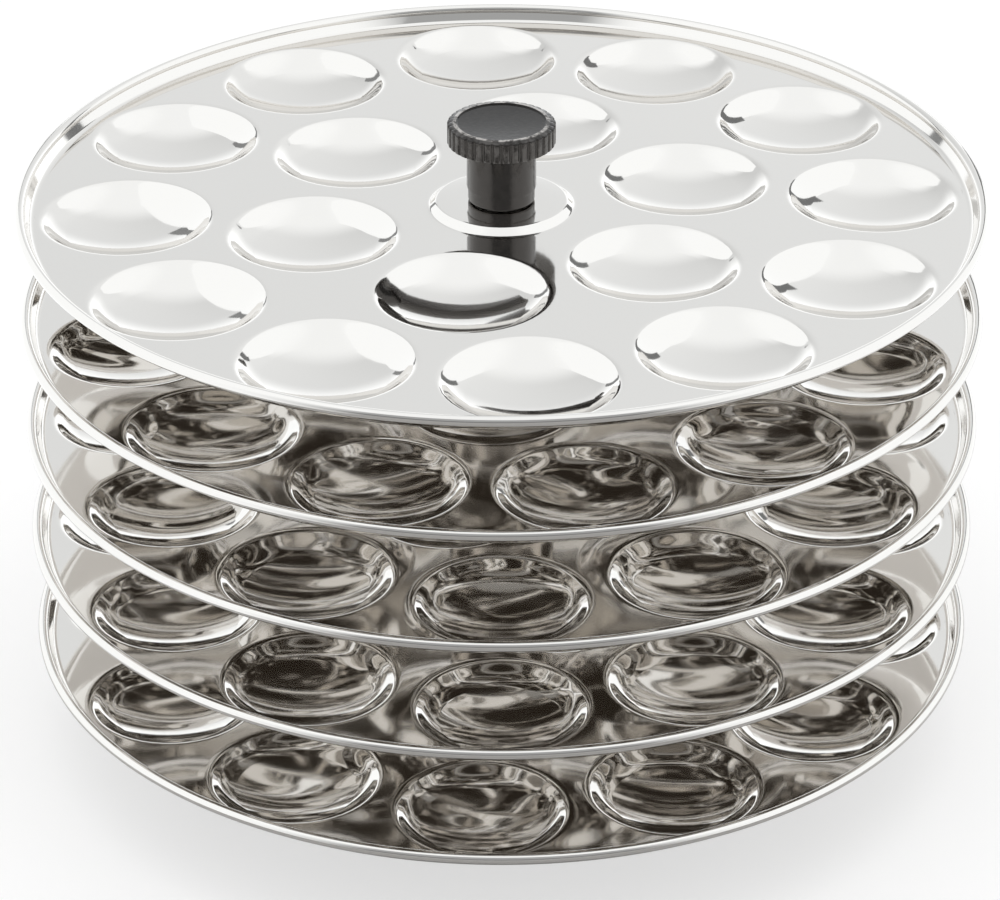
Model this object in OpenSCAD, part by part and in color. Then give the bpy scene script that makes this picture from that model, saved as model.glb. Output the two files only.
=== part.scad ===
// Rack of five round steamer plates for small idlis, held on a centre rod by a screwed knob.
// Origin: centre of the foot's underside, on the table. +Z runs up the rod. Millimetres.

/* [Stack] */
// Level distance from one plate's flat to the next
plate_pitch = 24.4; // [20:0.2:40]
// Height of the lowest plate's flat above the table
lowest_flat_z = 22; // [19:0.5:40]
// Running clearance round the rod, on the radius
rod_play = 0.05; // [0.02:0.01:0.1]
// Looser clearance of the plates' centre holes round the rod, on the radius
plate_play = 0.1; // [0.04:0.01:0.1]

/* [Plates] */
// Diameter over the flared rim
plate_d = 200; // [192:1:240]
// Thickness of the plates' sheet
sheet_t = 0.6; // [0.5:0.05:1]
// Height of the rim above the flat
rim_h = 3.5; // [2.8:0.1:8]
// How far the rim flares outwards from the edge of the flat
rim_flare = 2.7; // [2.2:0.1:5]
// Radius of the bend where the flat turns up into the rim
rim_bend_r = 1.4; // [0.8:0.1:2]
// Radius of the rolled bead along the rim's edge
bead_r = 0.6; // [0.45:0.05:0.9]
// Height of the raised boss round the centre hole
boss_h = 1.5; // [1:0.1:3]
// Diameter of the boss's flat top
boss_top_d = 27; // [25:0.5:32]
// Width of the slope down from the boss, seen from above
boss_slope_w = 1.5; // [1:0.1:3]

/* [Pits] */
// Flat left between neighbouring pits on the outer ring, which sets the pits' diameter
outer_land = 5; // [3:0.1:8]
// Depth of each pit below the flat
pit_depth = 5.5; // [4.5:0.1:9]
// Width of the pit's side wall, seen from above
pit_wall_w = 3; // [2:0.1:4]
// Slope of the side wall from the level
pit_wall_angle = 41; // [30:1:45]
// Width of the rounded lip, seen from above
lip_w = 0.8; // [0.4:0.1:1.2]
// How far the lip drops into the pit
lip_drop = 0.3; // [0.1:0.05:0.4]
// Number of pits on the outer ring, with half as many on the inner ring
outer_pits = 12; // [8:2:12]
// Flat left between an outer pit's wall and the rim's bend
rim_land = 2.6; // [1.4:0.1:5]
// Flat left between an inner pit's wall and the outer pits beside it
ring_land = 4.5; // [2:0.1:6]

/* [Turn of each plate] */
// Top plate, about the rod
plate_1_turn = 4; // [0:1:60]
// Second plate
plate_2_turn = 12; // [0:1:60]
// Third plate
plate_3_turn = 0; // [0:1:60]
// Fourth plate
plate_4_turn = 30; // [0:1:60]
// Lowest plate
plate_5_turn = 27; // [0:1:60]

/* [Spacers] */
// Outer diameter of the spacer cups
spacer_d = 22.4; // [18:0.2:24]
// Wall of the spacer cups
spacer_wall = 0.8; // [0.6:0.1:1.5]
// Bevel round each spacer's closed end
spacer_bevel = 0.6; // [0.2:0.1:1]

/* [Foot and rod] */
// Diameter of the foot on the table
foot_d = 72; // [60:1:90]
// Height of the foot's hub above the table
foot_h = 10; // [9.5:0.5:14]
// Thickness of the foot's sheet
foot_t = 1; // [0.8:0.1:1.4]
// Diameter of the foot's flat hub
hub_d = 28; // [26:1:34]
// Width of the foot's flat ring on the table
foot_ring_w = 3; // [2:0.5:5]
// Diameter of the centre rod
rod_d = 6; // [5:0.5:7]
// Diameter of the rod's shoulder on the hub
shoulder_d = 11; // [9:0.5:14]
// Thickness of the rod's shoulder
shoulder_t = 2; // [1:0.5:4]
// How far the rod stands out above the top plate's flat
rod_reach = 10.5; // [8:0.5:11]
// How far the rod's lower end stays above the table
rod_end_z = 1.2; // [0.5:0.1:2]
// Bevel on both ends of the rod
rod_bevel = 0.5; // [0.2:0.1:1]
// Size of the foot nut across its flats
nut_af = 10; // [9:0.5:13]
// Thickness of the foot nut
nut_t = 5; // [3:0.5:5.5]
// Diameter of the washer over the foot nut
foot_washer_d = 12; // [11:0.5:18]
// Thickness of the washer over the foot nut
foot_washer_t = 1.6; // [1:0.1:2]
// Clearance of nut and washer round the rod, on the radius
thread_play = 0.05; // [0.02:0.01:0.2]

/* [Knob] */
// Diameter of the knob's head
head_d = 22.3; // [20:0.1:30]
// Height of the fluted side of the head
head_side_h = 4.2; // [3:0.1:8]
// Width of the bevel round the head's top, seen from above
head_bevel_w = 1.5; // [0.8:0.1:2.5]
// Rise of the bevel round the head's top
head_bevel_h = 0.4; // [0.2:0.1:1]
// Depth of the sunk middle of the head's top
top_sink = 0.3; // [0.1:0.1:0.6]
// Width of the raised ring that is left round the sunk middle
top_ring_w = 0.6; // [0.3:0.1:1.5]
// Number of flutes round the head
flutes = 36; // [24:1:40]
// Radius of each flute
flute_r = 0.5; // [0.3:0.05:0.6]
// Depth of each flute
flute_depth = 0.35; // [0.1:0.05:0.4]
// Height of the head's underside above the top plate's flat
head_z = 14.4; // [13.8:0.1:20]
// Diameter of the knob's stem
stem_d = 14.2; // [13.8:0.1:17]
// How much the radius steps in at the foot of the stem
stem_step = 0.2; // [0.1:0.05:0.3]
// Height of the stepped foot of the stem
stem_foot_h = 2.6; // [1.5:0.1:4]
// Gap between the stem and the top plate's boss
stem_gap = 0.3; // [0.2:0.05:0.5]
// Diameter of the knob's threaded insert
insert_d = 9.2; // [8.6:0.1:9.6]
// Length of the insert above the pressure washer
insert_len = 9; // [8:0.5:9.5]
// Diameter of the anchor ring round the insert
anchor_d = 10.4; // [10:0.1:11]
// Width of the anchor ring
anchor_w = 2; // [1:0.5:3]
// Gap between the insert and the moulded knob
mould_gap = 0.02; // [0.01:0.01:0.1]
// Diameter of the pressure washer under the stem
washer_d = 11.2; // [11:0.1:11.6]
// Thickness of the pressure washer
washer_t = 1; // [0.9:0.05:1.2]
// Side clearance of the pressure washer in the stem
washer_side_gap = 0.3; // [0.2:0.05:0.4]
// Wall of the insert's neck, which passes through the pressure washer
neck_wall = 0.85; // [0.7:0.05:0.9]
// Width of the neck's rolled lip, which keeps the washer on
neck_lip_w = 0.4; // [0.2:0.05:0.5]
// Thickness of the rolled lip
neck_lip_t = 0.25; // [0.15:0.05:0.3]
// Gap between the rolled lip and the top plate's boss
neck_lip_gap = 0.1; // [0.05:0.05:0.2]

/* [Hidden] */
$fn = 96;
cut = 1;
plate_count = 5;
lens_fn = 180;
nut_sides = 6;
bend_steps = 4;
bend_end_angle = 64;
hollow_above_rod = 1.9;
hollow_side = 0.4;

steel = "#c9cbcc";
dull_steel = "#a9abac";
bakelite = "#1f1d1c";
brass = "#b8935a";

plate_r = plate_d / 2;
flat_r = plate_r - rim_flare;
boss_top_r = boss_top_d / 2;
boss_foot_r = boss_top_r + boss_slope_w;
rod_r = rod_d / 2;
plate_bore_r = rod_r + plate_play;
sliding_bore_r = rod_r + rod_play;

pit_half_step = 180 / outer_pits;
pit_reach_r = flat_r - rim_land;
pit_r = (pit_reach_r * sin(pit_half_step) - outer_land / 2) / (1 + sin(pit_half_step));
pit_wall_h = pit_wall_w * tan(pit_wall_angle);
dish_edge_r = pit_r - pit_wall_w;
dish_sag = pit_depth - pit_wall_h;
dish_r = (dish_edge_r * dish_edge_r + dish_sag * dish_sag) / (2 * dish_sag);
outer_ring_r = pit_reach_r - pit_r;
ring_reach = 2 * pit_r + ring_land;
inner_ring_r = outer_ring_r * cos(pit_half_step)
    - sqrt(pow(ring_reach, 2) - pow(outer_ring_r * sin(pit_half_step), 2));

top_flat_z = flat_z(1);
spacer_r = spacer_d / 2;
spacer_len = plate_pitch - sheet_t;
collar_len = flat_z(plate_count) + boss_h - sheet_t - foot_h;
rod_top_z = top_flat_z + rod_reach;

boss_top_z = top_flat_z + boss_h;
washer_top_z = boss_top_z + washer_t;
stem_bottom_z = boss_top_z + stem_gap;
neck_r = sliding_bore_r + neck_wall;
neck_lip_r = neck_r + neck_lip_w;
neck_lip_z = boss_top_z + neck_lip_gap;
lip_pocket_z = neck_lip_z + neck_lip_t + rod_play;
lip_pocket_r = neck_lip_r + rod_play;
washer_bore_r = neck_r + rod_play;
washer_r = washer_d / 2;
insert_top_z = washer_top_z + insert_len;
anchor_z = washer_top_z + (insert_len - anchor_w) / 2;
head_r = head_d / 2;
stem_r = stem_d / 2;
head_bottom_z = top_flat_z + head_z;
head_edge_z = head_bottom_z + head_side_h;
head_top_z = head_edge_z + head_bevel_h;

// Height of plate k's flat, where plate 1 is at the top
function flat_z(k) = lowest_flat_z + (plate_count - k) * plate_pitch;

// Unit normal to the right of the line from a to b, which is its lower side
function lower_normal(a, b) = let (d = b - a) [d.y, -d.x] / norm(d);

// Point i of a line, moved down square to the line by the skin's thickness
function skin_point(line, i, skin) =
    let (
        last = len(line) - 2,
        before = min(max(i - 1, 0), last),
        after = min(i, last),
        n1 = lower_normal(line[before], line[before + 1]),
        n2 = lower_normal(line[after], line[after + 1])
    )
    line[i] + (n1 + n2) * skin / (1 + n1 * n2);

// Outline of a sheet whose upper face follows the line
function sheet_outline(line, skin) = concat(
    line,
    [for (i = [len(line) - 1 : -1 : 0]) skin_point(line, i, skin)]
);

// Upper face of a plate from its centre hole to its bead, as radius and height
function plate_line() = concat(
    [[plate_bore_r, boss_h], [boss_top_r, boss_h], [boss_foot_r, 0]],
    [
        for (i = [0 : bend_steps])
            let (a = bend_end_angle * i / bend_steps)
            [flat_r + rim_bend_r * sin(a), rim_bend_r * (1 - cos(a))]
    ],
    [[plate_r - bead_r, rim_h - bead_r]]
);

module plate_sheet() {
    rotate_extrude($fn = lens_fn) {
        polygon(sheet_outline(plate_line(), sheet_t));
        translate([plate_r - bead_r, rim_h - bead_r])
            circle(r = bead_r, $fn = 24);
    }
}

// A pit's bowl below the flat: a sloping wall closed by a round dish, grown outwards by the skin
module pit_bowl(skin, top) {
    bottom = -pit_depth - skin;
    wall_shift = skin / sin(pit_wall_angle);
    intersection() {
        translate([0, 0, bottom])
            cylinder(
                h = top - bottom,
                r1 = pit_r + bottom / tan(pit_wall_angle) + wall_shift,
                r2 = pit_r + top / tan(pit_wall_angle) + wall_shift
            );
        translate([0, 0, dish_r - pit_depth])
            sphere(r = dish_r + skin);
    }
}

// The lip's bevel between the flat and the pit's wall
module pit_lip() {
    wall_r = pit_r - lip_drop / tan(pit_wall_angle);
    lip_r = pit_r + lip_w;
    run = (lip_r - wall_r) / lip_drop;
    translate([0, 0, -lip_drop])
        cylinder(h = lip_drop + cut, r1 = wall_r, r2 = lip_r + cut * run);
}

module at_pits() {
    for (i = [0 : outer_pits - 1])
        rotate(i * 2 * pit_half_step)
            translate([outer_ring_r, 0])
                children();
    for (i = [0 : outer_pits / 2 - 1])
        rotate((4 * i + 1) * pit_half_step)
            translate([inner_ring_r, 0])
                children();
}

module plate(k, turn) {
    color(steel)
        translate([0, 0, flat_z(k)])
            rotate(turn)
                difference() {
                    union() {
                        plate_sheet();
                        at_pits()
                            pit_bowl(sheet_t, -sheet_t / 2);
                    }
                    at_pits() {
                        pit_bowl(0, cut);
                        pit_lip();
                    }
                }
}

// A drawn cup, open below, whose closed end slides on the rod and carries a plate
module spacer_cup(bottom_z, length) {
    color(steel)
        translate([0, 0, bottom_z])
            rotate_extrude($fn = lens_fn)
                polygon([
                    [spacer_r - spacer_wall, 0],
                    [spacer_r, 0],
                    [spacer_r, length - spacer_bevel],
                    [spacer_r - spacer_bevel, length],
                    [sliding_bore_r, length],
                    [sliding_bore_r, length - spacer_wall],
                    [spacer_r - spacer_wall, length - spacer_wall]
                ]);
}

module spacer(k) {
    spacer_cup(flat_z(k + 1) + boss_h, spacer_len);
}

module bottom_collar() {
    spacer_cup(foot_h, collar_len);
}

module base_foot() {
    foot_r = foot_d / 2;
    line = [
        [rod_r + thread_play, foot_h],
        [hub_d / 2, foot_h],
        [foot_r - foot_ring_w, foot_t],
        [foot_r, foot_t]
    ];
    color(steel)
        rotate_extrude($fn = lens_fn)
            polygon(sheet_outline(line, foot_t));
}

module centre_rod() {
    color(dull_steel)
        rotate_extrude()
            polygon([
                [0, rod_end_z],
                [rod_r - rod_bevel, rod_end_z],
                [rod_r, rod_end_z + rod_bevel],
                [rod_r, foot_h],
                [shoulder_d / 2, foot_h],
                [shoulder_d / 2, foot_h + shoulder_t],
                [rod_r, foot_h + shoulder_t],
                [rod_r, rod_top_z - rod_bevel],
                [rod_r - rod_bevel, rod_top_z],
                [0, rod_top_z]
            ]);
}

module foot_washer() {
    color(dull_steel)
        translate([0, 0, foot_h - foot_t - foot_washer_t])
            difference() {
                cylinder(h = foot_washer_t, r = foot_washer_d / 2);
                translate([0, 0, -cut])
                    cylinder(h = foot_washer_t + 2 * cut, r = rod_r + thread_play);
            }
}

module foot_nut() {
    color(dull_steel)
        translate([0, 0, foot_h - foot_t - foot_washer_t - nut_t])
            difference() {
                cylinder(h = nut_t, r = nut_af / 2 / cos(180 / nut_sides), $fn = nut_sides);
                translate([0, 0, -cut])
                    cylinder(h = nut_t + 2 * cut, r = rod_r + thread_play);
            }
}

// A washer with a pocket below for the insert's rolled lip, so it rises with the knob
module pressure_washer() {
    color(dull_steel)
        rotate_extrude()
            polygon([
                [lip_pocket_r, boss_top_z],
                [washer_r, boss_top_z],
                [washer_r, washer_top_z],
                [washer_bore_r, washer_top_z],
                [washer_bore_r, lip_pocket_z],
                [lip_pocket_r, lip_pocket_z]
            ]);
}

// Half section of the insert's outside above its neck, grown by a gap
module insert_section(inner_r, gap) {
    translate([inner_r, washer_top_z])
        square([insert_d / 2 + gap - inner_r, insert_len + gap]);
    translate([inner_r, anchor_z - gap])
        square([anchor_d / 2 + gap - inner_r, anchor_w + 2 * gap]);
}

module knob_insert() {
    color(brass)
        rotate_extrude() {
            insert_section(sliding_bore_r, 0);
            translate([sliding_bore_r, neck_lip_z])
                square([neck_wall, washer_top_z - neck_lip_z]);
            translate([sliding_bore_r, neck_lip_z])
                square([neck_lip_r - sliding_bore_r, neck_lip_t]);
        }
}

module knob_outside() {
    rotate_extrude()
        polygon([
            [0, stem_bottom_z],
            [stem_r - 2 * stem_step, stem_bottom_z],
            [stem_r - stem_step, stem_bottom_z + stem_step],
            [stem_r - stem_step, stem_bottom_z + stem_foot_h],
            [stem_r, stem_bottom_z + stem_foot_h + stem_step],
            [stem_r, head_bottom_z],
            [head_r, head_bottom_z],
            [head_r, head_edge_z],
            [head_r - head_bevel_w, head_top_z],
            [0, head_top_z]
        ]);
}

module head_flutes() {
    for (i = [0 : flutes - 1])
        rotate(i * 360 / flutes)
            translate([head_r + flute_r - flute_depth, 0, head_bottom_z - cut])
                cylinder(h = head_side_h + head_bevel_h + 2 * cut, r = flute_r, $fn = 24);
}

module knob() {
    sunk_r = head_r - head_bevel_w - top_ring_w;
    hollow_top_z = max(rod_top_z + hollow_above_rod, insert_top_z + mould_gap + hollow_side);
    color(bakelite)
        difference() {
            knob_outside();
            head_flutes();
            translate([0, 0, head_top_z - top_sink])
                cylinder(h = top_sink + cut, r = sunk_r);
            rotate_extrude()
                insert_section(0, mould_gap);
            translate([0, 0, stem_bottom_z - cut])
                cylinder(h = washer_top_z - stem_bottom_z + cut, r = washer_r + washer_side_gap);
            translate([0, 0, washer_top_z])
                cylinder(h = hollow_top_z - washer_top_z, r = rod_r + hollow_side);
        }
}

base_foot();
centre_rod();
foot_washer();
foot_nut();
bottom_collar();
plate(5, plate_5_turn);  // plate_5
spacer(4);  // spacer_4
plate(4, plate_4_turn);  // plate_4
spacer(3);  // spacer_3
plate(3, plate_3_turn);  // plate_3
spacer(2);  // spacer_2
plate(2, plate_2_turn);  // plate_2
spacer(1);  // spacer_1
plate(1, plate_1_turn);  // plate_1
pressure_washer();
knob_insert();
knob();
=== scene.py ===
"""Dresses the idli steamer rack: five pitted plates on a centre rod under a black screw knob."""
from math import acos, ceil, cos, hypot, pi, radians, sin, sqrt, tan

import bmesh
import bpy
from mathutils import Matrix, Vector
from mathutils.geometry import delaunay_2d_cdt


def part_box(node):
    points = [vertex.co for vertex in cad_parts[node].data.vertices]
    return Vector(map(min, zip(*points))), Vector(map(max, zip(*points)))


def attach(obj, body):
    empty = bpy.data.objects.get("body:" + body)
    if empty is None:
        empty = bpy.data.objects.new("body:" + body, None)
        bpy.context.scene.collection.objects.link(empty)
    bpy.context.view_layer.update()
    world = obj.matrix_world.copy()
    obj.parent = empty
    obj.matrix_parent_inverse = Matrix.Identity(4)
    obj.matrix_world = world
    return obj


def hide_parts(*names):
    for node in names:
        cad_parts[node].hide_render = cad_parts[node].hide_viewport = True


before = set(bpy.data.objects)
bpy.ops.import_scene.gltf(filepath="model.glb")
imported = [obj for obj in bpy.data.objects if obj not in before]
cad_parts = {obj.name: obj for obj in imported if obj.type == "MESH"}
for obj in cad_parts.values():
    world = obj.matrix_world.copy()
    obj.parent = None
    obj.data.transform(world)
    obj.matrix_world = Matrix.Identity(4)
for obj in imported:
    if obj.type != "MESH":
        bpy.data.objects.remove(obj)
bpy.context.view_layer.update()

MM = 0.001

# Sizes that the CAD part has too, in millimetres and degrees
PLATES = 5
PLATE_TURN = {1: 4, 2: 12, 3: 0, 4: 30, 5: 27}
PLATE_R = 100.0
SHEET_T = 0.6
RIM_H = 3.5
RIM_FLARE = 2.7
BOSS_H = 1.5
BOSS_TOP_R = 13.5
BOSS_SLOPE_W = 1.5
PLATE_BORE_R = 3.1
PIT_DEPTH = 5.5
PIT_WALL_W = 3.0
OUTER_PITS = 12
OUTER_LAND = 5.0
RIM_LAND = 2.6
RING_LAND = 4.5
CUP_R = 11.2
CUP_WALL = 0.8
CUP_BORE_R = 3.05
ROD_R = 3.0
ROD_GAP = 0.05
ROD_BEVEL = 0.5
THREAD_PITCH = 1.0
UPPER_THREAD = 12.0
SHOULDER_R = 5.5
SHOULDER_T = 2.0
HEAD_R = 11.15
HEAD_SIDE_H = 4.2
HEAD_BEVEL_W = 1.5
HEAD_BEVEL_H = 0.4
STEM_R = 7.1
FLUTES = 36
FLUTE_R = 0.5
FLUTE_DEPTH = 0.35
INSERT_R = 4.6
INSERT_GAP = 0.02
ANCHOR_R = 5.2
ANCHOR_W = 2.0
NECK_R = ROD_R + ROD_GAP + 0.85
LIP_R = NECK_R + 0.4
LIP_T = 0.25
WASHER_R = 5.6
FOOT_R = 36.0
FOOT_T = 1.0
FOOT_RING_W = 3.0
HUB_R = 14.0
FOOT_WASHER_R = 6.0
NUT_AF = 10.0

# Finer sizes of the visual pieces
PIT_WALL_ANGLE = radians(41)
PIT_BEND_R = 11.0
PIT_LIP_R = 2.2
PIT_MARGIN = 1.3
RIM_SLOPE = radians(58)
RIM_BEND_R = 1.25
RIM_MARGIN = 1.27
BEAD_R = 1.1
BOSS_MARGIN = 1.6
BOSS_BENDS = [1.2, 0.9, 0.2]
CUP_SHOULDER_R = 1.3
CUP_INNER_BEND_R = 0.5
FOOT_BEND_R = 2.5
THREAD_DEPTH = 0.45
THREAD_RUNOUT = 0.6
NUT_FACE = 0.97
NUT_BEVEL_ANGLE = radians(30)
KNURLS = 36
KNURL_DEPTH = 0.2
TOP_SINK = 0.3
TOP_RING_W = 0.6
STEM_STEP = 0.2
STEM_FOOT_H = 2.6
SEAM_H = 0.06
SEAM_HALF_W = 0.2
SCRATCH_DEPTH = 0.0015
PEEL_DEPTH = 0.03
EDGE = 0.2

# Numbers of sides of the turned pieces
PIT_SIDES = 48
BOSS_SIDES = 72
RIM_SIDES = 216
BEAD_SIDES = 24
CUP_SIDES = 96
FOOT_SIDES = 144
SMALL_SIDES = 72
ROD_SIDES = 48

# The studio's levels, as shares of its white
STUDIO_WHITE = 1.21
STUDIO_TINT = (0.973, 1.0, 1.023)
SOFTBOX_SIDE_LEVEL = 1.06
BACKDROP_LEVEL = 0.8
BACKDROP_GLOW = 0.42
BACKDROP_SLANT = 0.14
ROOM_LEVEL = 0.39
ROOM_FOOT_LEVEL = 0.2
WALL_LEVEL = 1.07
GAP_RIGHT_LEVEL = 0.18
GAP_LEFT_LEVEL = 0.25
WALL_FADE = 0.4
AMBIENT = 1.0
FLOOR_PAINT = 0.96
FLOOR_WHITE = 0.6
# The floor's colour as the steel mirrors it, behind and in front of the rack: painted shade
FLOOR_BEHIND = 0.76
FLOOR_IN_FRONT = 0.38

# The light of the bounces that are left out, and the ray depth past which it is added
LAST_BOUNCE = 0.03
LAST_BOUNCE_TINT = (1.0, 0.88, 0.74)
LAST_DEPTH = 3.5

# Where each part of the tent begins and ends, by elevation in degrees
GLOW_EDGE = (5, 26)
ROOM_EDGE = (6, 24)

# The same by ratios of a direction's parts
SOFTBOX_EDGE = (0.12, 0.42)
BACKDROP_EDGE = (0.5, 0.95)
OPENING_EDGE = (-0.85, -0.6)
SLANT_LIMITS = (-0.9, 0.6)

# Where the floor's painted shade changes, its half width and the point that the lamp faces, in metres
FLOOR_EDGE = (-0.16, 0.04)
FLOOR_HALF_W = 6.0
RACK_MIDDLE = (0, 0, 0.07)

# The camera, its place in millimetres from the middle of the top plate's flat
CAMERA_PLACE = (-0.3, -800.5, 378.6)
CAMERA_TILT = 28.58
CAMERA_LENS = 154.2

FLAT_R = PLATE_R - RIM_FLARE
PIT_HALF_STEP = pi / OUTER_PITS
PIT_REACH_R = FLAT_R - RIM_LAND
PIT_R = (PIT_REACH_R * sin(PIT_HALF_STEP) - OUTER_LAND / 2) / (1 + sin(PIT_HALF_STEP))
OUTER_RING_R = PIT_REACH_R - PIT_R
RING_REACH = 2 * PIT_R + RING_LAND
INNER_RING_R = OUTER_RING_R * cos(PIT_HALF_STEP) - sqrt(
    RING_REACH ** 2 - (OUTER_RING_R * sin(PIT_HALF_STEP)) ** 2
)


def node_heights(node):
    """Lowest and highest z of a CAD node, in millimetres."""
    low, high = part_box(node)
    return low[2] / MM, high[2] / MM


def fillet_line(points, radii, steps=5):
    """The line through points of radius and height, with each inner corner rounded by its radius."""
    line = [points[0]]
    for before, corner, after, radius in zip(points, points[1:], points[2:], radii):
        a = (Vector(corner) - Vector(before)).normalized()
        b = (Vector(after) - Vector(corner)).normalized()
        turn = acos(max(-1.0, min(1.0, a.dot(b))))
        if radius <= 0 or turn < 0.01:
            line.append(corner)
            continue
        side = 1 if a.x * b.y - a.y * b.x > 0 else -1
        start = Vector(corner) - a * radius * tan(turn / 2)
        centre = start + Vector((-a.y, a.x)) * radius * side
        for i in range(steps + 1):
            swing = Matrix.Rotation(side * turn * i / steps, 2)
            line.append(tuple(centre + swing @ (start - centre)))
    line.append(points[-1])
    return line


def lathe(line, angles, closed=True, shape=None):
    """Vertices and faces of a line turned about Z. A point on the axis becomes one vertex.
    The angles are a number of equal steps or a list, and shape gives the radius there."""
    if isinstance(angles, int):
        angles = [2 * pi * i / angles for i in range(angles)]
    sides = len(angles)
    verts, rings = [], []
    for r, z in line:
        if r < 1e-6:
            rings.append([len(verts)])
            verts.append((0.0, 0.0, z))
            continue
        rings.append(list(range(len(verts), len(verts) + sides)))
        for a in angles:
            at = shape(r, z, a) if shape else r
            verts.append((at * cos(a), at * sin(a), z))
    pairs = list(zip(rings, rings[1:]))
    if closed:
        pairs.append((rings[-1], rings[0]))
    faces = []
    for a, b in pairs:
        for i in range(sides):
            j = (i + 1) % sides
            if len(a) == 1 and len(b) == 1:
                break
            if len(a) == 1:
                faces.append((a[0], b[j], b[i]))
            elif len(b) == 1:
                faces.append((a[i], a[j], b[0]))
            else:
                faces.append((a[i], a[j], b[j], b[i]))
    return verts, faces


def linked(name, data):
    """A new object in the scene."""
    made = bpy.data.objects.new(name, data)
    bpy.context.scene.collection.objects.link(made)
    return made


def new_piece(name, parts, node, body, material, crease=40):
    """One object from lists of vertices and faces in millimetres, riding on a body in place of a CAD node."""
    bm = bmesh.new()
    for verts, faces in parts:
        made = [bm.verts.new(Vector(v) * MM) for v in verts]
        for face in faces:
            bm.faces.new([made[i] for i in face])
    bmesh.ops.recalc_face_normals(bm, faces=bm.faces)
    mesh = bpy.data.meshes.new(name)
    bm.to_mesh(mesh)
    bm.free()
    mesh.shade_smooth()
    mesh.set_sharp_from_angle(angle=radians(crease))
    piece = linked(name, mesh)
    mesh.materials.append(material)
    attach(piece, body)
    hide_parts(node)


def circle_points(x, y, r, count):
    return [(x + r * cos(2 * pi * i / count), y + r * sin(2 * pi * i / count)) for i in range(count)]


def pit_line():
    """A pit's upper face from its dish's middle out to the flat, as radius and height."""
    wall_h = PIT_WALL_W * tan(PIT_WALL_ANGLE)
    edge_r = PIT_R - PIT_WALL_W
    sag = PIT_DEPTH - wall_h
    dish_r = (edge_r ** 2 + sag ** 2) / (2 * sag)
    dish_steps = 7
    dish = []
    for i in range(dish_steps + 1):
        r = edge_r * i / dish_steps
        dish.append((r, -PIT_DEPTH + dish_r - sqrt(dish_r ** 2 - r ** 2)))
    wall = [dish[-2], dish[-1], (PIT_R, 0.0), (PIT_R + PIT_MARGIN, 0.0)]
    return dish[:-2] + fillet_line(wall, [PIT_BEND_R, PIT_LIP_R], 6)


def boss_line():
    """The boss's upper face from the flat in to the centre hole."""
    foot_r = BOSS_TOP_R + BOSS_SLOPE_W
    points = [(foot_r + BOSS_MARGIN, 0.0), (foot_r, 0.0), (BOSS_TOP_R, BOSS_H), (PLATE_BORE_R + 0.3, BOSS_H),
              (PLATE_BORE_R, BOSS_H - 0.25)]
    return fillet_line(points, BOSS_BENDS, 4)


def rim_line():
    """The rim's upper face from the flat out into its rolled bead."""
    top_r = PLATE_R - BEAD_R - 0.5 * BEAD_R * sin(RIM_SLOPE)
    top_h = RIM_H - BEAD_R + 0.5 * BEAD_R * cos(RIM_SLOPE)
    points = [(FLAT_R - RIM_MARGIN, 0.0), (top_r - top_h / tan(RIM_SLOPE), 0.0), (top_r, top_h)]
    return fillet_line(points, [RIM_BEND_R], 7)


class Sheet:
    """A thin pressed sheet's upper face, built ring by ring."""

    def __init__(self):
        self.verts = []
        self.faces = []

    def ring(self, x, y, r, z, count):
        if r < 1e-6:
            self.verts.append((x, y, z))
            return [len(self.verts) - 1]
        first = len(self.verts)
        self.verts += [(px, py, z) for px, py in circle_points(x, y, r, count)]
        return list(range(first, first + count))

    def sweep(self, x, y, line, count):
        """Rings along the line, from its first point to its last. Returns the first and last ring."""
        rings = [self.ring(x, y, r, z, count) for r, z in line]
        for a, b in zip(rings, rings[1:]):
            for i in range(count):
                j = (i + 1) % count
                if len(a) == 1:
                    self.faces.append((a[0], b[i], b[j]))
                else:
                    self.faces.append((a[i], b[i], b[j], a[j]))
        return rings[0], rings[-1]

    def fill(self, loops, keep):
        """Triangles between flat loops, where keep says that a point lies in the sheet."""
        index = [i for loop in loops for i in loop]
        coords = [Vector(self.verts[i][:2]) for i in index]
        edges, first = [], 0
        for loop in loops:
            edges += [(first + i, first + (i + 1) % len(loop)) for i in range(len(loop))]
            first += len(loop)
        points, _, tris, origin, _, _ = delaunay_2d_cdt(coords, edges, [], 0, 1e-6)
        for tri in tris:
            middle = sum((points[i] for i in tri), Vector((0, 0))) / len(tri)
            if keep(middle):
                self.faces.append(tuple(index[origin[i][0]] for i in tri))


def pit_centres():
    for i in range(OUTER_PITS):
        a = 2 * i * PIT_HALF_STEP
        yield OUTER_RING_R * cos(a), OUTER_RING_R * sin(a)
    for i in range(OUTER_PITS // 2):
        a = (4 * i + 1) * PIT_HALF_STEP
        yield INNER_RING_R * cos(a), INNER_RING_R * sin(a)


def plate_sheet():
    """A plate's upper face, its flat at height 0 and one outer pit on the +X axis."""
    sheet = Sheet()
    centres = list(pit_centres())
    loops = [sheet.sweep(x, y, pit_line(), PIT_SIDES)[1] for x, y in centres]
    loops.append(sheet.sweep(0, 0, boss_line(), BOSS_SIDES)[0])
    loops.append(sheet.sweep(0, 0, rim_line(), RIM_SIDES)[0])
    boss_edge = boss_line()[0][0]
    pit_edge = pit_line()[-1][0]

    def keep(p):
        if p.length < boss_edge * 0.999:
            return False
        return all(hypot(p.x - x, p.y - y) > pit_edge * 0.999 for x, y in centres)

    sheet.fill(loops, keep)
    return sheet


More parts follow.
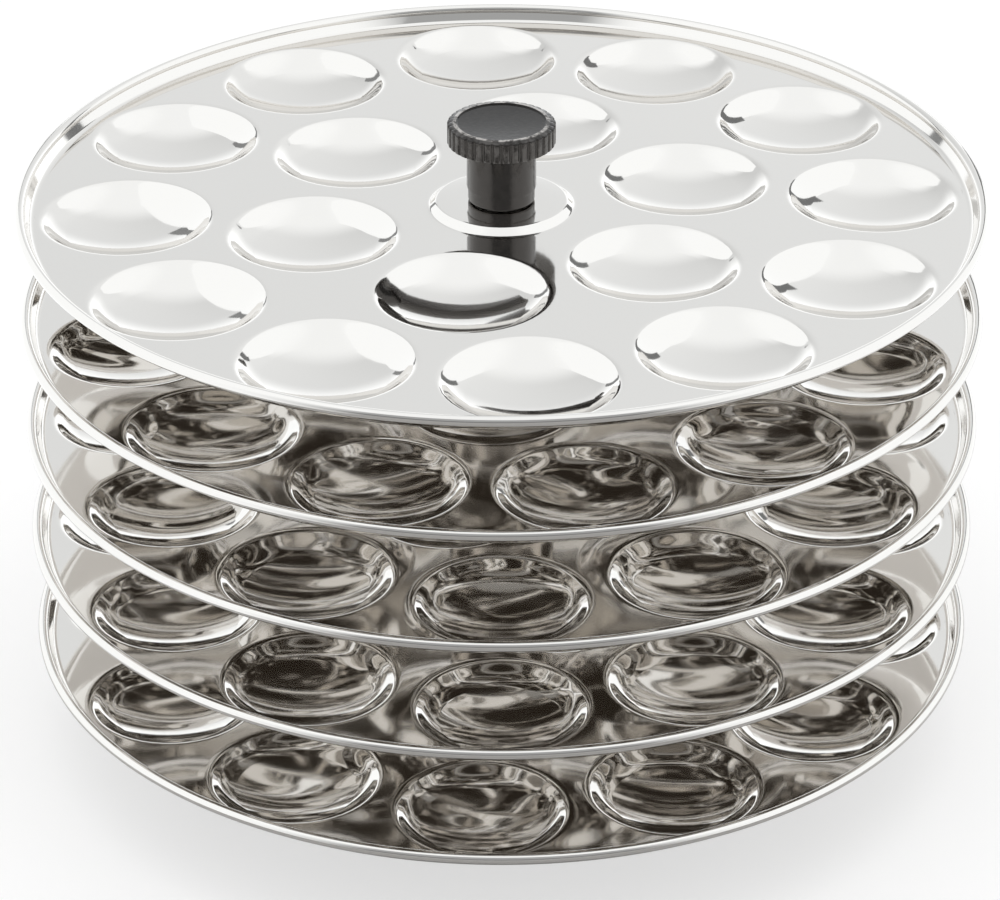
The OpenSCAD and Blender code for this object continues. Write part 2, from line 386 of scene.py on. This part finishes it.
def thickened(sheet, thickness):
    """Vertices and faces of the closed sheet, its upper face where the open one was."""
    mesh = bpy.data.meshes.new("sheet")
    bm = bmesh.new()
    made = [bm.verts.new(Vector(v)) for v in sheet.verts]
    for face in sheet.faces:
        bm.faces.new([made[i] for i in face])
    bmesh.ops.recalc_face_normals(bm, faces=bm.faces)
    if sum(f.normal.z for f in bm.faces) < 0:
        bmesh.ops.reverse_faces(bm, faces=bm.faces)
    bm.to_mesh(mesh)
    bm.free()
    holder = linked("sheet", mesh)
    solidify = holder.modifiers.new("thickness", "SOLIDIFY")
    solidify.thickness = thickness
    solidify.offset = -1
    solidify.use_even_offset = True
    evaluated = holder.evaluated_get(bpy.context.evaluated_depsgraph_get()).to_mesh()
    verts = [tuple(v.co) for v in evaluated.vertices]
    faces = [tuple(p.vertices) for p in evaluated.polygons]
    bpy.data.objects.remove(holder)
    bpy.data.meshes.remove(mesh)
    return verts, faces


def moved(part, turn, z):
    """A part turned about Z and then lifted."""
    verts, faces = part
    c, s = cos(turn), sin(turn)
    return [(x * c - y * s, x * s + y * c, h + z) for x, y, h in verts], faces


def make_plates(material):
    """Five equal plates, each at its own height and turn."""
    closed = thickened(plate_sheet(), SHEET_T)
    bead = lathe(circle_points(PLATE_R - BEAD_R, RIM_H - BEAD_R, BEAD_R, BEAD_SIDES), RIM_SIDES)
    for k in range(1, PLATES + 1):
        node = f"plate_{k}"
        flat_z = node_heights(node)[1] - RIM_H
        parts = [moved(part, radians(PLATE_TURN[k]), flat_z) for part in (closed, bead)]
        new_piece(f"pitted_plate_{k}", parts, node, node, material)


def make_cup(node, material):
    """A drawn cup with a rounded shoulder, its closed end up."""
    low, high = node_heights(node)
    inner_r = CUP_R - CUP_WALL
    under = high - CUP_WALL
    outline = fillet_line(
        [(inner_r, low + EDGE), (inner_r + EDGE, low), (CUP_R - EDGE, low), (CUP_R, low + EDGE),
         (CUP_R, high), (CUP_BORE_R + EDGE, high), (CUP_BORE_R, high - EDGE), (CUP_BORE_R, under),
         (inner_r, under), (inner_r, low + EDGE)],
        [0, 0, 0, CUP_SHOULDER_R, 0, 0, 0, CUP_INNER_BEND_R], 6)
    new_piece(f"{node}_cup", [lathe(outline[:-1], CUP_SIDES)], node, node, material)


def sheet_outline(line, thickness):
    """Closed outline of a sheet whose upper face follows the line from the inside outwards."""
    under = []
    for i, point in enumerate(line):
        a = Vector(line[max(i, 1)]) - Vector(line[max(i, 1) - 1])
        b = Vector(line[min(i + 1, len(line) - 1)]) - Vector(line[min(i, len(line) - 2)])
        a, b = a.normalized(), b.normalized()
        n1, n2 = Vector((a.y, -a.x)), Vector((b.y, -b.x))
        under.append(tuple(Vector(point) + (n1 + n2) * thickness / (1 + n1.dot(n2))))
    return line + under[::-1]


def make_foot(material):
    """The pressed foot: a flat hub, a cone and a flat ring on the table, with rounded bends."""
    low, high = node_heights("base_foot")
    ring_top = low + FOOT_T
    line = fillet_line(
        [(ROD_R + ROD_GAP, high), (HUB_R, high), (FOOT_R - FOOT_RING_W, ring_top), (FOOT_R, ring_top)],
        [FOOT_BEND_R, FOOT_BEND_R], 6)
    foot = lathe(sheet_outline(line, FOOT_T), FOOT_SIDES)
    new_piece("pressed_foot", [foot], "base_foot", "base", material)


def thread(r, z, angle):
    """Radius of a screw thread with rounded crests and roots."""
    place = (z / THREAD_PITCH - angle / (2 * pi)) % 1.0
    return r - THREAD_DEPTH * (0.5 - 0.5 * cos(2 * pi * place))


def make_rod(material):
    """The centre rod, threaded for the nut below and for the knob above."""
    low, high = node_heights("centre_rod")
    foot_top = node_heights("base_foot")[1]
    shoulder_top = foot_top + SHOULDER_T
    lower_from, lower_to = low + ROD_BEVEL, foot_top - EDGE
    upper_from, upper_to = high - UPPER_THREAD, high - ROD_BEVEL
    step = THREAD_PITCH / 10
    bevel = 0.3

    def threaded(z_from, z_to):
        count = ceil((z_to - z_from) / step)
        return [(ROD_R, z_from + (z_to - z_from) * i / count) for i in range(count + 1)]

    line = [(0, low), (ROD_R - ROD_BEVEL, low)]
    line += threaded(lower_from, lower_to)
    line += [(ROD_R, foot_top), (SHOULDER_R - EDGE, foot_top), (SHOULDER_R, foot_top + EDGE),
             (SHOULDER_R, shoulder_top - bevel), (SHOULDER_R - bevel, shoulder_top),
             (ROD_R + bevel, shoulder_top), (ROD_R, shoulder_top + bevel),
             (ROD_R, upper_from - THREAD_RUNOUT)]
    line += threaded(upper_from, upper_to)
    line += [(ROD_R - ROD_BEVEL, high), (0, high)]

    def shape(r, z, angle):
        if r != ROD_R or not (lower_from <= z <= lower_to or upper_from <= z <= upper_to):
            return r
        edge = min(abs(z - end) for end in (lower_from, lower_to, upper_from, upper_to))
        fade = min(1.0, edge / THREAD_PITCH)
        return r - (r - thread(r, z, angle)) * fade

    rod = lathe(line, ROD_SIDES, False, shape)
    new_piece("threaded_rod", [rod], "centre_rod", "base", material)


def make_foot_washer(material):
    """The plain washer under the foot, its upper edge softer, as punching leaves it."""
    low, high = node_heights("foot_washer")
    bore_r = ROD_R + ROD_GAP
    soft = 0.15
    outline = fillet_line(
        [(bore_r, high - EDGE), (bore_r, high), (FOOT_WASHER_R, high), (FOOT_WASHER_R, low), (bore_r, low),
         (bore_r, high - EDGE)],
        [0, soft * 3, soft, 0], 4)
    washer = lathe(outline[:-1], SMALL_SIDES)
    new_piece("plain_washer", [washer], "foot_washer", "base", material)


def make_nut(material):
    """A hexagon nut whose corners are turned off at both ends."""
    low, high = node_heights("foot_nut")
    across = NUT_AF / 2
    face_r = across * NUT_FACE
    corner = across / cos(pi / 6)
    outside = corner + 1
    bevel = (corner - face_r) * tan(NUT_BEVEL_ANGLE)
    bevel_steps = 4
    bore_r = ROD_R + ROD_GAP
    lead = 0.3
    line = [(bore_r + lead, low), (face_r, low)]
    line += [(outside, low + bevel * i / bevel_steps) for i in range(1, bevel_steps + 1)]
    line += [(outside, high - bevel * i / bevel_steps) for i in range(bevel_steps, 0, -1)]
    line += [(face_r, high), (bore_r + lead, high), (bore_r, high - lead), (bore_r, low + lead)]

    def shape(r, z, angle):
        if r < face_r - 0.05:
            return r
        flat = across / cos((angle % (pi / 3)) - pi / 6)
        cone = face_r + min(z - low, high - z) / tan(NUT_BEVEL_ANGLE)
        return min(flat, cone)

    angles = [pi / 6 + 2 * pi * i / SMALL_SIDES for i in range(SMALL_SIDES)]
    nut = lathe(line, angles, True, shape)
    new_piece("hexagon_nut", [nut], "foot_nut", "base", material, 25)


def make_pressure_washer(material):
    """The washer between the knob and the top plate, with a pocket for the insert's lip."""
    low, high = node_heights("pressure_washer")
    pocket_r, pocket_top = LIP_R + ROD_GAP, low + 0.4
    bore_r = NECK_R + ROD_GAP
    outline = fillet_line(
        [(pocket_r, low + 0.1), (pocket_r + 0.1, low), (WASHER_R, low), (WASHER_R, high), (bore_r, high),
         (bore_r, pocket_top), (pocket_r, pocket_top), (pocket_r, low + 0.1)],
        [0, 0.15, 0.25, 0.1, 0, 0], 4)
    washer = lathe(outline[:-1], SMALL_SIDES)
    new_piece("pocket_washer", [washer], "pressure_washer", "pressure_washer", material)


def anchor_foot():
    """Height of the insert's anchor ring, midway between the pressure washer and the insert's top."""
    washer_top = node_heights("pressure_washer")[1]
    return washer_top + (node_heights("knob_insert")[1] - washer_top - ANCHOR_W) / 2


def make_insert(material):
    """The knob's threaded insert, with a knurled anchor ring and a rolled lip on its neck."""
    low, high = node_heights("knob_insert")
    washer_top = node_heights("pressure_washer")[1]
    anchor = anchor_foot()
    bore_r = ROD_R + ROD_GAP
    lead_top, lead_foot = 0.3, 0.15
    line = [(bore_r + lead_foot, low), (LIP_R - 0.1, low), (LIP_R, low + 0.1), (LIP_R - 0.05, low + LIP_T),
            (NECK_R, low + LIP_T), (NECK_R, washer_top), (INSERT_R - EDGE, washer_top),
            (INSERT_R, washer_top + EDGE), (INSERT_R, anchor), (ANCHOR_R, anchor),
            (ANCHOR_R, anchor + ANCHOR_W), (INSERT_R, anchor + ANCHOR_W), (INSERT_R, high - EDGE),
            (INSERT_R - EDGE, high), (bore_r + lead_top, high)]
    thread_steps = 110
    thread_h = high - low - (lead_top + lead_foot)
    line += [(bore_r, high - lead_top - thread_h * i / thread_steps) for i in range(thread_steps + 1)]

    def shape(r, z, angle):
        if r == bore_r:
            return r + 0.6 * (bore_r - thread(bore_r, z, angle))
        if r == ANCHOR_R:
            return r - KNURL_DEPTH * abs(sin(KNURLS / 2 * angle))
        return r

    insert = lathe(line, SMALL_SIDES, True, shape)
    new_piece("brass_insert", [insert], "knob_insert", "knob", material)


def flute_angles():
    """Angles round the head, at tenths of a flute's pitch that are closest where its side bends."""
    steps = [-5, -4.2, -3.4, -2.8, -2.5, -2.2, -1.7, -1.0, 0, 1.0, 1.7, 2.2, 2.5, 2.8, 3.4, 4.2]
    pitch = 360 / FLUTES
    return [radians(pitch * i + step * pitch / 10) for i in range(FLUTES) for step in steps]


def head_radius(angle):
    """Radius of the fluted side of the head, a mean over a small angle, so that its ridges look rounded by
    wear.
    """
    pitch = 2 * pi / FLUTES
    centre = HEAD_R + FLUTE_R - FLUTE_DEPTH
    total = 0
    spread = [-0.45, -0.15, 0.15, 0.45]
    for shift in spread:
        a = (angle + radians(shift) + pitch / 2) % pitch - pitch / 2
        inside = FLUTE_R ** 2 - (centre * sin(a)) ** 2
        total += min(HEAD_R, centre * cos(a) - sqrt(inside)) if inside > 0 else HEAD_R
    return total / len(spread)


def knob_corners(low, high, under):
    """The knob's section from the middle of its top to the roof of its hollow: radius, height and fillet."""
    washer_top = node_heights("pressure_washer")[1]
    seat_top = node_heights("knob_insert")[1] + INSERT_GAP
    anchor = anchor_foot()
    anchor_low, anchor_high = anchor - INSERT_GAP, anchor + ANCHOR_W + INSERT_GAP
    seat_r, anchor_r = INSERT_R + INSERT_GAP, ANCHOR_R + INSERT_GAP
    pocket_r, hollow_r = WASHER_R + 0.3, ROD_R + 0.4
    hollow_top = max(node_heights("centre_rod")[1] + 1.9, seat_top + 0.4)
    ring_r = HEAD_R - HEAD_BEVEL_W
    sunk_r = ring_r - TOP_RING_W
    top_and_head = [
        (0, high - TOP_SINK, 0), (sunk_r, high - TOP_SINK, 0.15), (sunk_r, high, 0.12), (ring_r, high, 0.4),
        (HEAD_R, high - HEAD_BEVEL_H, 0.3), (HEAD_R, under, 0.35),
    ]
    stem = [
        (STEM_R, under, 0.8), (STEM_R, low + STEM_FOOT_H + STEM_STEP, 0.1),
        (STEM_R - STEM_STEP, low + STEM_FOOT_H, 0.1), (STEM_R - STEM_STEP, low, 0.45),
    ]
    hollow = [
        (pocket_r, low, 0.15), (pocket_r, washer_top, 0), (seat_r, washer_top, 0), (seat_r, anchor_low, 0),
        (anchor_r, anchor_low, 0), (anchor_r, anchor_high, 0), (seat_r, anchor_high, 0),
        (seat_r, seat_top, 0), (hollow_r, seat_top, 0), (hollow_r, hollow_top, 0), (0, hollow_top, 0),
    ]
    return top_and_head + stem + hollow


def make_knob(material):
    """The moulded knob: a stem with a stepped foot under a fluted head with a sunk top."""
    low, high = node_heights("knob")
    under = high - HEAD_BEVEL_H - HEAD_SIDE_H
    corners = knob_corners(low, high, under)
    line = fillet_line([(r, z) for r, z, _ in corners], [fillet for _, _, fillet in corners[1:-1]], 5)
    deep = HEAD_R - FLUTE_DEPTH

    def shape(r, z, angle):
        if r > deep and z >= under - 0.01:
            return min(r, head_radius(angle) - (HEAD_R - r) * 0.3)
        on_stem = low + STEM_FOOT_H + STEM_STEP < z < under - 1.0 and abs(r - STEM_R) < STEM_STEP + 0.01
        if on_stem:
            seam = min(abs(sin(angle)) * r / SEAM_HALF_W, 1.0)
            return r + SEAM_H * (1 - seam)
        return r

    knob = lathe(line, flute_angles(), False, shape)
    new_piece("fluted_knob", [knob], "knob", "knob", material, 50)


class Graph:
    """The nodes of a material or a world. An input's value is a number, a colour or another node's output."""

    def __init__(self, owner):
        owner.use_nodes = True
        self.nodes = owner.node_tree.nodes
        self.links = owner.node_tree.links

    def feed(self, node, values):
        """Gives a node's inputs, by name or number, their values."""
        for key, value in values.items():
            if isinstance(value, bpy.types.NodeSocket):
                self.links.new(value, node.inputs[key])
            else:
                node.inputs[key].default_value = value
        return node

    def add(self, kind, values=None):
        return self.feed(self.nodes.new(f"ShaderNode{kind}"), values or {})

    def shader(self, values):
        self.feed(self.nodes["Principled BSDF"], values)

    def place(self, kind="Object"):
        return self.add("TexCoord").outputs[kind]

    def ray(self, kind):
        return self.add("LightPath").outputs[kind]

    def axes(self, vector):
        split = self.add("SeparateXYZ", {0: vector})
        return [split.outputs[axis] for axis in "XYZ"]

    def math(self, operation, *values):
        node = self.add("Math")
        node.operation = operation
        return self.feed(node, dict(enumerate(values))).outputs[0]

    def vector(self, operation, values):
        node = self.add("VectorMath")
        node.operation = operation
        return self.feed(node, values).outputs

    def ranged(self, value, low, high, at_low, at_high, way="LINEAR"):
        """A value carried from one range into another and held at its ends."""
        node = self.add("MapRange")
        node.interpolation_type = way
        values = {"Value": value, "From Min": low, "From Max": high, "To Min": at_low, "To Max": at_high}
        return self.feed(node, values).outputs["Result"]

    def step(self, value, low, high, at_low=0.0, at_high=1.0):
        """A soft step between two levels."""
        return self.ranged(value, low, high, at_low, at_high, "SMOOTHSTEP")

    def noise(self, place, scale, detail, rough=0.5):
        values = {"Vector": place, "Scale": scale, "Detail": detail, "Roughness": rough}
        return self.add("TexNoise", values).outputs["Fac"]

    def bump(self, height, depth, under=None):
        """A normal bumped by a height, over another bump where one is given. The depth is in millimetres."""
        values = {"Height": height, "Strength": 1.0, "Distance": depth * MM}
        if under is not None:
            values["Normal"] = under
        return self.add("Bump", values).outputs["Normal"]

    def blend(self, share, a, b):
        """Two colours mixed by a share of the second."""
        node = self.add("Mix")
        node.data_type = "RGBA"
        return self.feed(node, {"Factor": share, "A": a, "B": b}).outputs["Result"]

    def mix_shaders(self, share, a, b):
        """The surface from two shaders, mixed by a share of the second."""
        mixed = self.add("MixShader", {0: share, 1: a.outputs[0], 2: b.outputs[0]})
        self.feed(self.nodes["Material Output"], {"Surface": mixed.outputs[0]})


def look_steel(name, colour, rough, wave_depth, grain):
    """Polished steel: slow waves from pressing, fine scratches and patches of duller polish. Where a ray
    reaches the renderer's last bounce between two plates, a little light stands for the bounces left out."""
    material = bpy.data.materials.new(name)
    graph = Graph(material)
    place = graph.place()
    wave_scale, patch_scale, dullest = 28, 60, 1.9
    waves = graph.bump(graph.noise(place, wave_scale, 1.5), wave_depth)
    patches = graph.noise(place, patch_scale, 5)
    is_last = graph.math("GREATER_THAN", graph.ray("Ray Depth"), LAST_DEPTH)
    graph.shader({
        "Metallic": 1.0,
        "Base Color": (*colour, 1),
        "Normal": graph.bump(graph.noise(place, grain, 4, 0.7), SCRATCH_DEPTH, waves),
        "Roughness": graph.ranged(patches, 0.35, 0.7, rough, rough * dullest),
        "Emission Strength": graph.math("MULTIPLY", is_last, LAST_BOUNCE),
        "Emission Color": (*LAST_BOUNCE_TINT, 1),
    })
    return material


def knob_painted_highlight(graph, place, distance, height):
    """Share of painted highlight: uneven on the ring round the knob's top and faint on the ridges of its
    head.
    """
    top = node_heights("knob")[1]
    ring = HEAD_R - HEAD_BEVEL_W
    patch_scale, least = 420, 0.06
    uneven = graph.step(graph.noise(place, patch_scale, 5, 0.75), 0.42, 0.6, least, 1.0)

    def band(value, low, high, at_low=0.0, at_high=1.0):
        return graph.step(value, low * MM, high * MM, at_low, at_high)

    def product(*shares):
        total = shares[0]
        for share in shares[1:]:
            total = graph.math("MULTIPLY", total, share)
        return total

    on_ring = product(band(distance, ring - 0.5, ring - 0.3),
                      band(distance, ring + 0.1, ring + 0.5, 1.0, 0.12),
                      band(height, top - 0.5, top - 0.3), uneven)
    on_ridges = product(band(distance, HEAD_R - 0.22, HEAD_R - 0.04, 0.0, 0.13),
                        band(height, top - 0.9, top - 0.5, 1.0, 0.0), uneven)
    return graph.math("ADD", on_ring, on_ridges)


def look_bakelite(name):
    """Moulded black bakelite: a soft sheen that varies, fine mottling, a faint orange peel, and a paler
    painted highlight on the ring round the top and on the ridges of the head."""
    material = bpy.data.materials.new(name)
    graph = Graph(material)
    place = graph.place()
    distance = graph.vector("LENGTH", {0: graph.vector("MULTIPLY", {0: place, 1: (1, 1, 0)})[0]})["Value"]
    height = graph.axes(place)[2]
    top = node_heights("knob")[1] * MM

    mottle_scale, sheen_scale, peel_scale = 900, 220, 1300
    side_gloss, top_gloss = 0.75, 0.27
    mottle = graph.add("ValToRGB", {"Fac": graph.noise(place, mottle_scale, 6, 0.7)})
    colours = [(0.35, (0.005, 0.0046, 0.0043, 1)), (0.75, (0.018, 0.0165, 0.0153, 1))]
    for element, (position, colour) in zip(mottle.color_ramp.elements, colours):
        element.position = position
        element.color = colour

    # Painted highlight: a pale grey that stands for light caught on the ring round the top and on the head's
    # ridges
    highlight_grey = (0.42, 0.405, 0.39, 1)
    sheen = graph.noise(place, sheen_scale, 4)
    graph.shader({
        "Base Color": graph.blend(knob_painted_highlight(graph, place, distance, height), mottle.outputs["Color"], highlight_grey),
        "Roughness": graph.ranged(sheen, 0.3, 0.7, 0.06, 0.14),
        "Specular Tint": (1.0, 0.94, 0.9, 1),
        "Specular IOR Level": graph.step(height, top - 0.7 * MM, top - 0.4 * MM, side_gloss, top_gloss),
        "Normal": graph.bump(graph.noise(place, peel_scale, 3), PEEL_DEPTH),
    })
    return material


def add_camera():
    """The photograph's view: from the front, 25 degrees above the top plate's middle, through a long lens."""
    data = bpy.data.cameras.new("camera")
    data.sensor_width = 36
    data.lens = CAMERA_LENS
    data.clip_start = 0.01
    camera = linked("camera", data)
    top_flat = node_heights("plate_1")[1] - RIM_H
    camera.location = (Vector((0, 0, top_flat)) + Vector(CAMERA_PLACE)) * MM
    camera.rotation_euler = (radians(90 - CAMERA_TILT), 0, 0)
    bpy.context.scene.camera = camera


def add_lamp(name, place, size, power):
    """A soft rectangular lamp that faces the middle of the rack, for matt surfaces and the shadow."""
    data = bpy.data.lights.new(name, "AREA")
    data.shape = "RECTANGLE"
    data.size, data.size_y = size
    data.energy = power
    lamp = linked(name, data)
    lamp.location = place
    aim = Vector(RACK_MIDDLE) - Vector(place)
    lamp.rotation_euler = aim.to_track_quat("-Z", "Y").to_euler()
    lamp.visible_glossy = False


def studio_colour(level):
    return [level * STUDIO_WHITE * part for part in STUDIO_TINT]


def tent_level(graph):
    """The tent's brightness by direction: a softbox overhead, a greyer backdrop behind the rack that is
    brighter at its foot, and the tent's dark opening on the camera's side."""
    x, y, z = graph.axes(graph.place("Generated"))
    along = graph.math("DIVIDE", y, graph.math("MAXIMUM", z, 0.001))
    aside = graph.math("DIVIDE", x, graph.math("MAXIMUM", y, 0.001))
    aside = graph.math("MAXIMUM", graph.math("MINIMUM", aside, SLANT_LIMITS[1]), SLANT_LIMITS[0])

    def towards(share, a, b):
        return graph.math("MULTIPLY_ADD", share, graph.math("SUBTRACT", b, a), a)

    def by_elevation(edge, at_low, at_high):
        return graph.step(z, sin(radians(edge[0])), sin(radians(edge[1])), at_low, at_high)

    softbox = graph.step(graph.math("ABSOLUTE", x), *SOFTBOX_EDGE, 1.0, SOFTBOX_SIDE_LEVEL)
    backdrop = graph.math("MULTIPLY_ADD", aside, BACKDROP_SLANT, BACKDROP_LEVEL)
    backdrop = graph.math("ADD", backdrop, by_elevation(GLOW_EDGE, BACKDROP_GLOW, 0.0))
    room = by_elevation(ROOM_EDGE, ROOM_FOOT_LEVEL, ROOM_LEVEL)
    tent = towards(graph.step(along, *BACKDROP_EDGE), softbox, backdrop)
    return towards(graph.step(along, *OPENING_EDGE, 1.0, 0.0), tent, room)


def add_world():
    """The light tent as the steel mirrors it. The camera itself sees plain white, and matt surfaces get an
    even light."""
    world = bpy.data.worlds.new("studio")
    bpy.context.scene.world = world
    graph = Graph(world)
    mirrored = graph.vector("SCALE", {0: studio_colour(1), "Scale": tent_level(graph)})[0]
    shiny = graph.math("MAXIMUM", graph.ray("Is Glossy Ray"), graph.ray("Is Transmission Ray"))
    lit = graph.blend(shiny, (AMBIENT, AMBIENT, AMBIENT, 1), mirrored)
    seen = graph.blend(graph.ray("Is Camera Ray"), lit, (1, 1, 1, 1))
    graph.feed(graph.nodes["Background"], {"Color": seen})


def add_wall(name, line, low, high, level, fade=0.0):
    """An upright card of the light tent over a line of two points in millimetres, faded out over a share of
    its length at the first point. Only the steel mirrors it."""
    mesh = bpy.data.meshes.new(name)
    corners = [(x * MM, y * MM, low * MM) for x, y in line]
    corners += [(x * MM, y * MM, high * MM) for x, y in line[::-1]]
    mesh.from_pydata(corners, [], [(0, 1, 2, 3)])
    wall = linked(name, mesh)
    material = bpy.data.materials.new(name)
    graph = Graph(material)
    graph.nodes.remove(graph.nodes["Principled BSDF"])
    share = graph.ray("Is Glossy Ray")
    if fade:
        along = graph.axes(graph.place("Generated"))[1]
        share = graph.math("MULTIPLY", share, graph.step(along, 0.0, fade))
    glow = graph.add("Emission", {"Color": (*studio_colour(level), 1)})
    graph.mix_shaders(share, graph.add("BsdfTransparent"), glow)
    mesh.materials.append(material)


def add_floor():
    """A plain white floor. The camera sees its shadow paler, and the steel mirrors it with painted shade,
    greyer towards the tent's dark opening."""
    mesh = bpy.data.meshes.new("floor")
    half = FLOOR_HALF_W
    corners = [(-half, -half, 0), (half, -half, 0), (half, half, 0), (-half, half, 0)]
    mesh.from_pydata(corners, [], [(0, 1, 2, 3)])
    floor = linked("floor", mesh)
    material = bpy.data.materials.new("floor_white")
    graph = Graph(material)
    back = graph.axes(graph.place())[1]
    # Painted shade: for the steel's reflections the floor's colour is darker in front of the rack than behind
    painted_floor_shade = graph.step(back, *FLOOR_EDGE, FLOOR_IN_FRONT, FLOOR_BEHIND)
    paint = graph.blend(graph.ray("Is Glossy Ray"), (FLOOR_PAINT, FLOOR_PAINT, FLOOR_PAINT, 1), painted_floor_shade)
    graph.shader({"Base Color": paint, "Roughness": 0.9, "Specular IOR Level": 0.1})
    white_share = graph.math("MULTIPLY", graph.ray("Is Camera Ray"), FLOOR_WHITE)
    graph.mix_shaders(white_share, graph.nodes["Principled BSDF"], graph.add("Emission"))
    mesh.materials.append(material)


# Colour, roughness, wave depth in millimetres and grain of each metal
plate_look = look_steel("polished_sheet_steel", (0.757, 0.735, 0.704), 0.045, 0.03, 900)
cup_look = look_steel("drawn_cup_steel", (0.72, 0.685, 0.645), 0.1, 0.02, 1400)
rod_look = look_steel("rolled_rod_steel", (0.6, 0.585, 0.565), 0.16, 0.01, 2200)
fastener_look = look_steel("plated_fastener_steel", (0.62, 0.605, 0.585), 0.2, 0.01, 2600)
brass_look = look_steel("turned_brass", (0.78, 0.56, 0.26), 0.18, 0.01, 2600)
bakelite_look = look_bakelite("black_bakelite")

make_foot(cup_look)
make_rod(rod_look)
make_foot_washer(fastener_look)
make_nut(fastener_look)
make_pressure_washer(fastener_look)
make_insert(brass_look)
make_knob(bakelite_look)
make_plates(plate_look)
for cup in ["bottom_collar", "spacer_4", "spacer_3", "spacer_2", "spacer_1"]:
    make_cup(cup, cup_look)

# The studio: two bright side cards, and two dark ones in the gaps beside the backdrop
add_camera()
add_world()
add_floor()
add_wall("tent_right", [(195, -400), (195, 245)], 1, 560, WALL_LEVEL, WALL_FADE)
add_wall("tent_left", [(-155, -340), (-155, 215)], 1, 560, WALL_LEVEL, WALL_FADE)
add_wall("tent_gap_right", [(169, 243), (195, 220)], 118, 278, GAP_RIGHT_LEVEL)
add_wall("tent_gap_left", [(-159, 221), (-144, 236)], 140, 232, GAP_LEFT_LEVEL)
add_lamp("overhead", (0.0, -0.15, 1.25), (1.2, 0.9), 4.1)

bpy.context.scene.view_settings.view_transform = "Standard"
